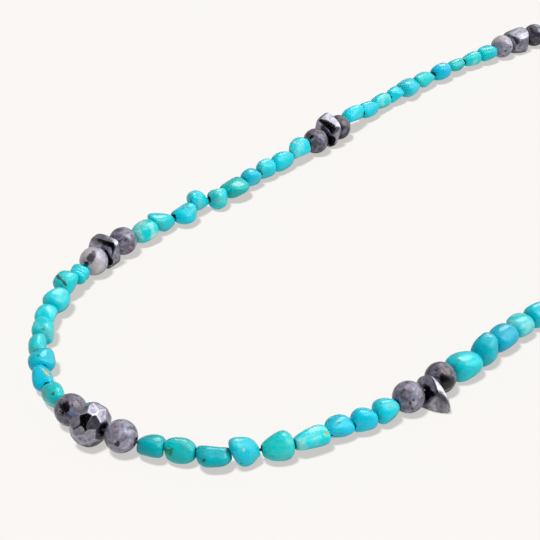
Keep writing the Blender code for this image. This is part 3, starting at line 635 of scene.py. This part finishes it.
LOOKS = {
    "nugget_left_1_1": look(0.35, 0.95, 0.0, 0.0),
    "nugget_left_1_2": look(0.60, 1.00, 0.1, 1.0, Fleck("brown", 100, 45, 0.12, 4.0, 60)),
    "nugget_left_1_3": look(0.45, 1.00, 0.2, 0.1, Fleck("gold", 40, 20, 0.16)),
    "nugget_left_1_4": look(0.50, 1.08, 0.3, 0.0),
    "nugget_left_1_5": look(0.52, 1.02, 0.35, 0.3, Fleck("brown", 109, 50, 0.22)),
    "nugget_left_1_6": look(0.62, 1.02, 0.2, 0.0),
    "nugget_left_1_7": look(0.25, 0.88, 0.0, 0.2, Fleck("green", 79, 20, 0.25), Fleck("gold", 150, 25, 0.20)),
    "nugget_left_1_8": look(0.10, 0.95, 0.0, 0.1, Fleck("gold", 118, 12, 0.42, 2.4, 10)),
    "nugget_left_1_9": look(0.72, 0.98, 0.0, 0.3, Fleck("brown", 60, 35, 0.28)),
    "nugget_right_1_1": look(0.45, 0.65, 0.0, 0.0),
    "nugget_right_1_2": look(0.65, 0.80, 0.1, 0.3, Fleck("green", 30, -35, 0.60)),
    "nugget_right_1_3": look(
        0.45, 0.72, 0.0, 0.5, Fleck("brown", 25, -30, 0.30), Fleck("gold", 44, 25, 0.15),
    ),
    "nugget_right_1_4": look(
        0.32, 0.96, 0.1, 0.5, Fleck("cream", 40, 0, 0.30), Fleck("brown", 343, -32, 0.26),
    ),
    "nugget_right_1_5": look(0.72, 1.0, 0.1, 0.0),
    "nugget_right_1_6": look(0.55, 1.08, 0.6, 0.3, Fleck("gold", 55, 40, 0.35), Fleck("green", 38, 25, 0.20)),
    "nugget_right_1_7": look(0.10, 1.00, 0.0, 0.5, Fleck("green", 65, -7, 0.16)),
    "nugget_right_1_8": look(0.15, 1.02, 0.0, 0.1),
    "nugget_right_1_9": look(0.35, 1.00, 0.1, 0.1, Fleck("gold", 55, 6, 0.20), Fleck("green", 89, -25, 0.15)),
    "right_2_1": look(0.45, 1.02, 0.0, 0.8),
    "right_2_2": look(0.30, 0.80, 0.0, 0.7),
    "right_2_3": look(0.05, 0.78, 0.0, 0.1),
    "right_2_4": look(0.50, 0.95, 0.5, 0.2),
    "right_2_5": look(0.35, 0.88, 0.0, 0.1),
    "left_2_1": look(0.40, 1.05, 0.3, 0.2, Fleck("cream", 100, 20, 0.25)),
    "left_2_2": look(0.40, 1.00, 0.0, 0.0),
    "left_2_3": look(0.35, 1.03, 0.1, 0.0),
    "left_2_4": look(0.15, 0.92, 0.1, 0.0),
    "left_2_5": look(0.75, 0.82, 0.0, 0.4),
    "left_2_6": look(0.60, 1.02, 0.3, 0.0),
    "left_2_7": look(0.40, 1.02, 0.2, 0.0, Fleck("cream", 90, 10, 0.25)),
    "left_2_8": look(0.30, 1.05, 0.0, 0.5, Fleck("gold", 100, 0, 0.18)),
    "left_2_9": look(0.50, 0.95, 0.1, 0.3, Fleck("green", 100, 10, 0.25)),
    "left_2_10": look(0.70, 1.00, 0.8, 0.0),
    "left_3_1": look(0.50, 0.88, 0.0, 0.0),
    "left_3_2": look(0.65, 1.00, 0.4, 0.0),
    "left_3_3": look(0.75, 0.88, 0.0, 0.1),
    "left_3_4": look(0.05, 0.92, 0.0, 0.0),
    "left_3_5": look(0.65, 1.02, 0.1, 0.0),
    "left_3_6": look(0.30, 1.00, 0.1, 0.1, Fleck("cream", 90, 0, 0.20)),
    "left_3_7": look(0.30, 1.00, 0.0, 0.0),
    "left_3_8": look(0.60, 1.03, 0.4, 0.0),
    "left_3_9": look(0.30, 0.98, 0.0, 0.0),
    "left_3_10": look(0.35, 1.10, 0.0, 0.0),
}


def random_look(seed):
    """A nugget's own tone, picked from the ranges seen on the strand."""
    pick = np.random.default_rng(seed)
    return look(
        pick.uniform(0.1, 0.9), pick.uniform(0.85, 1.05), pick.uniform(0.0, 0.5) ** 2 * 2,
        pick.uniform(0.0, 0.6),
    )


turquoise = Finish(bpy.data.materials.new("tumbled_turquoise"))
grain = turquoise.attribute("grain", "Vector")
tone = turquoise.add("ShaderNodeAttribute", attribute_name="tone")
tone_parts = turquoise.add("ShaderNodeSeparateColor", tone.outputs["Color"]).outputs
green, light, milk, vein = tone_parts[0], tone_parts[1], tone_parts[2], tone.outputs["Alpha"]
broad = turquoise.noise(grain, 0.55, 3.0, 0.55)
fine = turquoise.noise(grain, 3.5, 6.0, 0.65)
crumb = turquoise.noise(grain, 2.4, 3.0, 0.6)

# The stone runs from blue to green, with darker grain and milky clouds.
hue = turquoise.plus(green, turquoise.times_plus(broad, 0.6, -0.30), clamp=True)
stone = turquoise.ramp(
    hue, (0.0, (0.001, 0.550, 0.800)), (0.5, (0.001, 0.640, 0.700)), (1.0, (0.003, 0.560, 0.470)),
)
darker = turquoise.times(turquoise.soft_step(fine, 0.42, 0.68), 0.30)
stone = turquoise.blend(darker, stone, (0.004, 0.380, 0.420))
cloud = turquoise.times(turquoise.soft_step(broad, 0.42, 0.70), milk)
stone = turquoise.blend(cloud, stone, (0.50, 0.80, 0.76))

# Thin veins follow bent cell walls, in patches, and specks lie at cell middles.
bent = turquoise.add("ShaderNodeVectorMath", grain, turquoise.times(fine, 0.8), operation="ADD").outputs[0]
walls = turquoise.add("ShaderNodeTexVoronoi", feature="DISTANCE_TO_EDGE", Vector=bent, Scale=0.55)
thin = turquoise.soft_fall(walls.outputs["Distance"], 0.0, 0.05)
veined = turquoise.times(turquoise.times(thin, turquoise.soft_step(broad, 0.40, 0.62)), vein)
stone = turquoise.blend(veined, stone, (0.13, 0.10, 0.020))
middles = turquoise.add("ShaderNodeTexVoronoi", Vector=grain, Scale=1.7).outputs["Distance"]
speck = turquoise.soft_fall(turquoise.plus(middles, turquoise.times(fine, 0.25)), 0.20, 0.28)
stone = turquoise.blend(turquoise.times(speck, vein), stone, (0.09, 0.16, 0.030))

FLECK_COLOURS = {
    "green": (0.030, 0.210, 0.030), "gold": (0.36, 0.33, 0.035),
    "cream": (0.60, 0.52, 0.38), "brown": (0.060, 0.035, 0.012),
}
for kind, colour in FLECK_COLOURS.items():
    inside = turquoise.patch(f"fleck_{kind}", crumb, 3.6, 0.45, 1.15)
    stone = turquoise.blend(turquoise.times(inside, 0.85), stone, colour)
turquoise.surface(
    Base_Color=turquoise.add("ShaderNodeVectorMath", stone, Scale=light, operation="SCALE").outputs[0],
    Roughness=turquoise.times_plus(fine, 0.20, 0.12), Specular_IOR_Level=0.20,
    Coat_Weight=0.30, Coat_Roughness=0.04, Normal=turquoise.dents(0.12, fine),
)


def nugget_sheet(piece, index, rings, sides):
    """One nugget's skin in place, with its tone and flecks for every point."""
    seen = LOOKS.get(piece.name) or random_look(STONE_SEED + index)
    seat = seats[piece.name]
    form = nugget_form(piece.form, seat, random_flats(STONE_SEED + index), SWELL_SEED + index)
    local = drilled(form, rings, sides)
    points = local.reshape(-1, 3)
    shift = np.array([index * 7.0, (index % 7) * 5.0, (index % 5) * 9.0])
    traits = {
        "grain": points * 1000 + shift,
        "tone": np.tile([seen.green, seen.light, seen.milk, seen.vein], (len(points), 1)),
    }
    for kind in FLECK_COLOURS:
        traits[f"fleck_{kind}"] = fleck_depth(points, form, seen.flecks, kind)
    return seated(local, seat), traits


stones_only = bpy.data.collections.new("turquoise_stones")
strings = {}
for index, piece in enumerate(order):
    if piece.kind == "nugget":
        alone = piece.name.startswith("nugget")
        node = piece.name if alone else "nuggets_" + piece.name.rsplit("_", 1)[0]
        strings.setdefault(node, []).append((index, piece))
for node, members in strings.items():
    rings, sides = HIDDEN_GRID if node in HIDDEN_RUNS else NUGGET_GRID
    made = [nugget_sheet(piece, index, rings, sides) for index, piece in members]
    traits = {trait: np.concatenate([row[trait] for _, row in made]) for trait in made[0][1]}
    name = node.replace("nugget", "turquoise")
    stones = skin(name, [sheet for sheet, _ in made], turquoise, traits=traits, sharp=50.0)
    set_in(stones, "turquoise", node)
    stones_only.objects.link(stones)


# Round larvikite beads. A dark grey-mauve feldspar rock turned to balls and polished; its crystals
# flash pale blue, and black grains of ore show between them.
BALL_GRID = (48, 64)
larvikite = Finish(bpy.data.materials.new("polished_larvikite"))
grain = larvikite.attribute("grain", "Vector")
tone = larvikite.attribute("tone")
warp = larvikite.noise(grain, 0.75, 3.0, 0.55)
crystal = larvikite.noise(grain, 1.1, 7.0, 0.70, 0.5)
rock = larvikite.ramp(
    larvikite.plus(crystal, larvikite.times_plus(tone, 0.36, -0.18)),
    (0.30, (0.008, 0.007, 0.009)), (0.42, (0.060, 0.050, 0.068)), (0.54, (0.165, 0.140, 0.190)),
    (0.66, (0.300, 0.280, 0.360)), (0.82, (0.54, 0.52, 0.60)),
)
flash = larvikite.times(larvikite.soft_step(warp, 0.55, 0.68), 0.55)
rock = larvikite.blend(flash, rock, (0.20, 0.27, 0.42))
middles = larvikite.add("ShaderNodeTexVoronoi", Vector=grain, Scale=0.75).outputs["Distance"]
ore = larvikite.soft_fall(larvikite.plus(middles, larvikite.times(crystal, 0.35)), 0.28, 0.36)
rock = larvikite.blend(ore, rock, (0.004, 0.004, 0.006))

# Each mark's colour, and how much of the rock it covers.
MARKS = {
    "pale": ((0.62, 0.55, 0.53), 0.60), "peach": ((0.72, 0.46, 0.36), 0.60),
    "dark": ((0.060, 0.052, 0.070), 0.95), "blue": ((0.10, 0.22, 0.62), 0.95),
    "tan": ((0.22, 0.12, 0.06), 0.95), "black": ((0.001, 0.001, 0.002), 0.95),
}
for kind, (colour, cover) in MARKS.items():
    inside = larvikite.patch(f"mark_{kind}", crystal, 2.2, 0.65, 1.1)
    rock = larvikite.blend(larvikite.times(inside, cover), rock, colour)
larvikite.surface(
    Base_Color=rock, Metallic=0.08, Roughness=larvikite.times_plus(crystal, 0.25, 0.12), IOR=1.55,
    Coat_Weight=0.3, Coat_Roughness=0.10,
)


def ball_form(d):
    return d * LARVIKITE_DIAMETER / 2


# Each bead's tone from dark (0) to pale (1), then the marks that show on it.
LARVIKITE_LOOKS = {
    "larvikite_front_left": (0.50, Fleck("black", 52, 27, 0.85, 1.3, 60), Fleck("blue", 44, 55, 0.28)),
    "larvikite_front_right": (
        0.85, Fleck("black", 15, 11, 0.42), Fleck("tan", 69, -15, 0.25),
        Fleck("dark", 95, 35, 0.35, 2.5, 60),
    ),
    "larvikite_left_1_a": (0.60, Fleck("dark", 70, 60, 0.50, 2.0, 40)),
    "larvikite_left_1_b": (
        1.00, Fleck("pale", 168, 48, 1.90), Fleck("pale", 60, 10, 1.60), Fleck("peach", 20, 54, 0.90),
        Fleck("dark", 109, 30, 0.62, 1.9, 15), Fleck("black", 103, 68, 0.48),
    ),
    "larvikite_left_2_a": (0.20, Fleck("black", 90, 20, 0.30)),
    "larvikite_left_2_b": (0.35, Fleck("black", 100, 45, 0.34, 1.5), Fleck("black", 60, -10, 0.35)),
    "larvikite_left_3_a": (0.25, Fleck("black", 75, 10, 0.25)),
    "larvikite_left_3_b": (1.00, Fleck("pale", 60, 0, 2.00)),
    "larvikite_right_1_a": (0.70, Fleck("black", 30, -20, 0.20)),
    "larvikite_right_1_b": (
        0.40, Fleck("black", 24, -27, 1.45, 1.4, 20), Fleck("tan", 58, -22, 0.22, 4.0, 15),
    ),
}
for index, piece in enumerate(order):
    if piece.kind == "round":
        local = drilled(ball_form, *BALL_GRID)
        points = local.reshape(-1, 3)
        shift = np.array([index * 5.0, (index % 6) * 7.0, (index % 4) * 6.0])
        tone, *marks = LARVIKITE_LOOKS.get(piece.name, (0.5,))
        traits = {"grain": points * 1000 + shift, "tone": np.full(len(points), tone)}
        for kind in MARKS:
            traits[f"mark_{kind}"] = fleck_depth(points, ball_form, marks, kind)
        placed = seated(local, seats[piece.name])
        bead = skin(piece.name + "_ball", [placed], larvikite, traits=traits, sharp=50.0)
        set_in(bead, "larvikite", piece.name)


# Hematite chips. Bits of dark iron ore, broken, drilled and tumbled to a mirror; the corners wear
# round, a paler colour is painted along the edges as a painted highlight, and the broad faces stay
# nearly flat. Some are duller and pitted, and some carry a black patch that is a painted dark
# reflection: it stands in for something dark mirrored in the polish.
CHIP_GRID, CHIP_SEED = (64, 80), 3000
CHIP_EDGE, CHIP_GROWTH, CHIP_SWELL, CHIP_SHINE_WIDTH = 6.5, 1.08, 0.012, 0.0003
USUAL_DULLNESS = 0.1
CHIP_DULL = {"hematite_chip_right_1": 0.50, "hematite_chip_left_2": 0.15, "hematite_chip_left_3": 0.60}
# Painted dark reflections: black patches on the chips where the polish would mirror something dark.
CHIP_PAINTED_REFLECTIONS = {
    "hematite_chip_right_1": (Fleck("black", 0, -38, 0.95, 1.4), Fleck("black", 14, -17, 0.34, 1.5)),
    "hematite_chip_left_1": (Fleck("black", 209, 50, 0.66, 1.9),),
    "hematite_chip_left_2": (Fleck("black", 197, 25, 0.75, 1.4, 90),),
}
hematite = Finish(bpy.data.materials.new("tumbled_hematite"))
grain = hematite.attribute("grain", "Vector")
dull = hematite.attribute("dull")
mottle = hematite.noise(grain, 1.3, 5.0, 0.65)
metal = hematite.ramp(
    mottle, (0.34, (0.23, 0.21, 0.26)), (0.50, (0.38, 0.37, 0.45)), (0.66, (0.57, 0.57, 0.67)),
)
# Painted highlight: the metal turns paler along the edges where two flats meet, as if lit there.
worn = hematite.times(hematite.soft_step(hematite.attribute("wear"), 0.2, 0.9), 0.6)
metal = hematite.blend(worn, metal, (0.66, 0.64, 0.70))
pits = hematite.soft_step(hematite.noise(grain, 4.0, 5.0, 0.7), 0.46, 0.66)
metal = hematite.blend(hematite.times(hematite.times(dull, pits), 0.9), metal, (0.060, 0.048, 0.062))
# Painted dark reflection: inside each patch the chip's metal turns near black.
blackened = hematite.patch("blackened", mottle, 0.8, 0.85, 1.10)
metal = hematite.blend(blackened, metal, (0.012, 0.010, 0.014))
hematite.surface(
    Base_Color=metal, Metallic=1.0,
    Roughness=hematite.times_plus(dull, 0.45, hematite.times_plus(mottle, 0.20, 0.02)),
    Normal=hematite.dents(0.2, mottle),
)


def planed_form(flats, size, edge, swell, seed):
    """A function from directions to a block's skin: the soft least reach of its flats."""
    ways, reaches = planes(flats)

    def form(d):
        pull = (np.maximum(d @ ways.T, 0.0) / (reaches * size)) ** edge
        reach = pull.sum(axis=-1) ** (-1 / edge)
        return d * (reach * (1 + swell * wave(d, seed, pitch=4.0)))[..., None]

    return form


# Where the painted edge highlight on chips and the faceted bead lies.
def edge_nearness(local, flats, size, width):
    """How near each point is to an edge: 1 where its two nearest flats tie, 0 past the width."""
    ways, reaches = planes(flats)
    depth = np.sort(local.reshape(-1, 3) @ ways.T - reaches * size, axis=1)
    return np.clip(1 - (depth[:, -1] - depth[:, -2]) / width, 0, 1)


for index, piece in enumerate(order):
    if piece.kind == "chip":
        flats, size = CHIPS[piece.form], CHIP_SIZE * CHIP_GROWTH
        form = planed_form(flats, size, CHIP_EDGE, CHIP_SWELL, CHIP_SEED + index)
        local = drilled(form, *CHIP_GRID)
        points = local.reshape(-1, 3)
        traits = {
            "grain": points * 1000 + np.array([index * 4.0, index % 5 * 6.0, 0.0]),
            "wear": edge_nearness(local, flats, size, CHIP_SHINE_WIDTH),
            "dull": np.full(len(points), CHIP_DULL.get(piece.name, USUAL_DULLNESS)),
            "blackened": fleck_depth(points, form, CHIP_PAINTED_REFLECTIONS.get(piece.name, ()), "black"),
        }
        placed = seated(local, seats[piece.name])
        placed[..., 2] = np.maximum(placed[..., 2], 0.0)
        chip = skin(piece.name + "_stone", [placed], hematite, traits=traits, sharp=60.0)
        set_in(chip, "hematite", piece.name)


# The faceted bead at the middle of the front. A larger hematite ball ground to rows of small
# polished faces, with fine pale lines painted along their edges as a painted highlight.
CUT_GRID, CUT_EDGE, CUT_SHINE_WIDTH = (120, 160), 70.0, 0.00012
FACET_REACH, EDGE_REACH, END_REACH = 0.482, 0.415, CUT_BEAD_LENGTH / 2 / CUT_BEAD_DIAMETER

# The way each facet faces, around and along, on the side that shows and towards the ends.
SEEN_FACETS = (
    (79, -8), (93, 14), (115, 18), (41, -9), (60, 15), (84, 41), (143, 39), (39, 38), (19, 15),
    (0, 46), (358, 23),
)
EDGE_FACETS = ((110, 57), (60, 56), (316, 64), (20, 62), (155, 60), (200, 58), (240, 60), (280, 58))

# Rows of facets out of sight: along, how many and the first. None comes near a facet that is set.
HIDDEN_ROWS = ((0, 11, 15), (24, 11, 0), (-24, 11, 0), (44, 10, 20), (-44, 10, 20))
LEAST_APART = 21
table_reach = math.cos(math.pi / CUT_BEAD_SIDES) / 2
facets = [Flat(0, 90, END_REACH), Flat(0, -90, END_REACH), Flat(270, 0, table_reach)]
facets += [Flat(around, along, FACET_REACH) for around, along in SEEN_FACETS]
facets += [Flat(around, along, EDGE_REACH) for around, along in EDGE_FACETS]
facets += [Flat(180 - around, -along, EDGE_REACH) for around, along in EDGE_FACETS]
for along, count, first in HIDDEN_ROWS:
    for around in first + 360 / count * np.arange(count):
        near = planes(facets[2:])[0] @ facing(around, along)
        if near.max() < math.cos(math.radians(LEAST_APART)):
            facets.append(Flat(around, along, FACET_REACH))
local = drilled(planed_form(facets, CUT_BEAD_DIAMETER, CUT_EDGE, 0.0, 1), *CUT_GRID)
points = local.reshape(-1, 3)
traits = {
    "grain": points * 1000 + 90.0, "wear": edge_nearness(local, facets, CUT_BEAD_DIAMETER, CUT_SHINE_WIDTH),
    "dull": np.zeros(len(points)), "blackened": np.full(len(points), NO_FLECK),
}
placed = seated(local, seats["hematite_faceted"])
cut_bead = skin("hematite_faceted_stone", [placed], hematite, traits=traits, sharp=12.0)
set_in(cut_bead, "hematite", "hematite_faceted")


# The clasp. A plain barrel turned from bright silver-coloured metal, with domed ends, a slim
# collar where its halves screw together, and a blind hole at each end for the thread.
CLASP_SIDES, DOME_RINGS, DOME_SHARE = 64, 14, 0.6
CLASP_HOLE, HOLE_LIP, AXIS_RADIUS = BORE_DIAMETER / 2, 0.0003, 0.00002
silver = Finish(bpy.data.materials.new("brushed_silver"))
place = silver.add("ShaderNodeTexCoord").outputs["Object"]
brush = silver.noise(place, 5000.0, 4.0)
silver.surface(
    Base_Color=silver.ramp(brush, (0.3, (0.62, 0.61, 0.60)), (0.7, (0.80, 0.79, 0.77))),
    Metallic=1.0, Roughness=silver.times_plus(brush, 0.2, 0.15),
)

# The profile is radius and place along the thread: a quarter ellipse from the hole to the neck,
# the collar, the other half mirrored, then the two blind holes, joined by a hair on the axis.
half, radius = CLASP_LENGTH / 2, CLASP_DIAMETER / 2
neck, collar = CLASP_DIAMETER * 0.46, CLASP_LENGTH * 0.04
rise = neck - CLASP_HOLE
dome = [
    (CLASP_HOLE + rise * math.sin(a), half - rise * DOME_SHARE * (1 - math.cos(a)))
    for a in np.linspace(0, math.pi / 2, DOME_RINGS)
]
side = dome + [(neck, collar), (radius, collar * 0.6)]
floor_at, lip_at = half - CLASP_BORE_DEPTH, half - HOLE_LIP
holes = [
    (CLASP_HOLE, -lip_at), (CLASP_HOLE, -floor_at), (AXIS_RADIUS, -floor_at),
    (AXIS_RADIUS, floor_at), (CLASP_HOLE, floor_at), (CLASP_HOLE, lip_at),
]
r, x = np.array(side + [(r, -x) for r, x in reversed(side)] + holes).T[..., None]
around = np.arange(CLASP_SIDES) * math.tau / CLASP_SIDES
turned = np.stack([x + 0 * around, r * np.cos(around), r * np.sin(around)], axis=-1)
barrel = skin("clasp_barrel", [seated(turned[::-1], seats["clasp"])], silver, sharp=30.0)
set_in(barrel, "silver", "clasp")


# The photographer's table: a pale sheet, a broad soft light from the left, a narrower one that
# glints in the turquoise, and a light tent with a dark gap towards the camera, which shows as
# black in the polished stones.
floor_mesh = bpy.data.meshes.new("table")
floor_mesh.from_pydata([(-4, -4, 0), (4, -4, 0), (4, 4, 0), (-4, 4, 0)], [], [(0, 1, 2, 3)])
table = bpy.data.objects.new("table", floor_mesh)
paper = Finish(bpy.data.materials.new("pale_paper"))
seen_in_stones = paper.add("ShaderNodeLightPath").outputs["Is Glossy Ray"]
paper.surface(
    Base_Color=(0.10, 0.0975, 0.095), Emission_Color=(0.556, 0.541, 0.525),
    Emission_Strength=paper.times_plus(seen_in_stones, -0.7, 1.0),
    Roughness=1.0, Specular_IOR_Level=0.0,
)
floor_mesh.materials.append(paper.owner)

stage = bpy.data.collections.new("stage")
bpy.context.scene.collection.children.link(stage)
stage.objects.link(table)
for name, energy, spread, way, lit in (
    ("table_light", 11.9, 12, (0.10, 0.25, -1.0), stage),
    ("bead_light", 2.6, 30, (-0.35, -0.30, -0.85), necklace),
    ("stone_glint", 1.3, 30, (0.35, -0.62, -0.70), stones_only),
):
    lamp = bpy.data.objects.new(name, bpy.data.lights.new(name, "SUN"))
    lamp.data.energy = energy
    lamp.data.angle = math.radians(spread)
    lamp.rotation_euler = Vector(way).to_track_quat("-Z", "Y").to_euler()
    lamp.visible_glossy = name == "stone_glint"
    lamp.visible_diffuse = name != "stone_glint"
    lamp.light_linking.receiver_collection = lit
    bpy.context.scene.collection.objects.link(lamp)

# The tent's inside, as the stones mirror it: each patch has its way from the beads, the cosines
# at which it begins and is full, and its brightness. All else gets the even light.
EVEN_LIGHT = 0.36
world = bpy.data.worlds.new("light_tent")
bpy.context.scene.world = world
tent = Finish(world)
way = tent.add("ShaderNodeTexCoord").outputs["Generated"]
mirrored = EVEN_LIGHT
for aim, begins, full, level in (
    ((0.25, 0.62, 0.70), 0.44, 0.76, 1.6), ((0.50, 0.52, 0.70), 0.87, 0.975, 4.0),
    ((0.97, -0.05, 0.25), 0.80, 0.93, 0.12), ((0.28, -0.77, 0.57), 0.63, 0.72, 0.004),
    ((0.0, 0.0, -1.0), 0.0, 0.3, 0.45),
):
    aimed = tent.add("ShaderNodeVectorMath", way, Vector(aim).normalized(), operation="DOT_PRODUCT")
    share = tent.soft_step(aimed.outputs["Value"], begins, full)
    mirrored = tent.times_plus(share, level, tent.times(tent.one_less(share), mirrored))
glossy = tent.add("ShaderNodeLightPath").outputs["Is Glossy Ray"]
even = tent.times(tent.one_less(glossy), EVEN_LIGHT)
background = tent.tree.nodes["Background"]
tent.put(background.inputs["Color"], tent.times_plus(mirrored, glossy, even))
tent.put(background.inputs["Strength"], 1.0)

# The camera stands in front of the loop and to its right.
camera_place, camera_aim = Vector((0.11879, -0.16293, 0.11743)), Vector((-0.007505, -0.043093, 0.0))
camera = bpy.data.objects.new("camera", bpy.data.cameras.new("camera"))
camera.data.lens, camera.data.sensor_width = 92.67, 36.0
camera.data.clip_start, camera.data.clip_end = 0.001, 20.0
camera.location = camera_place
camera.rotation_euler = (camera_aim - camera_place).to_track_quat("-Z", "Y").to_euler()
bpy.context.scene.collection.objects.link(camera)
bpy.context.scene.camera = camera
bpy.context.scene.view_settings.view_transform = "Standard"
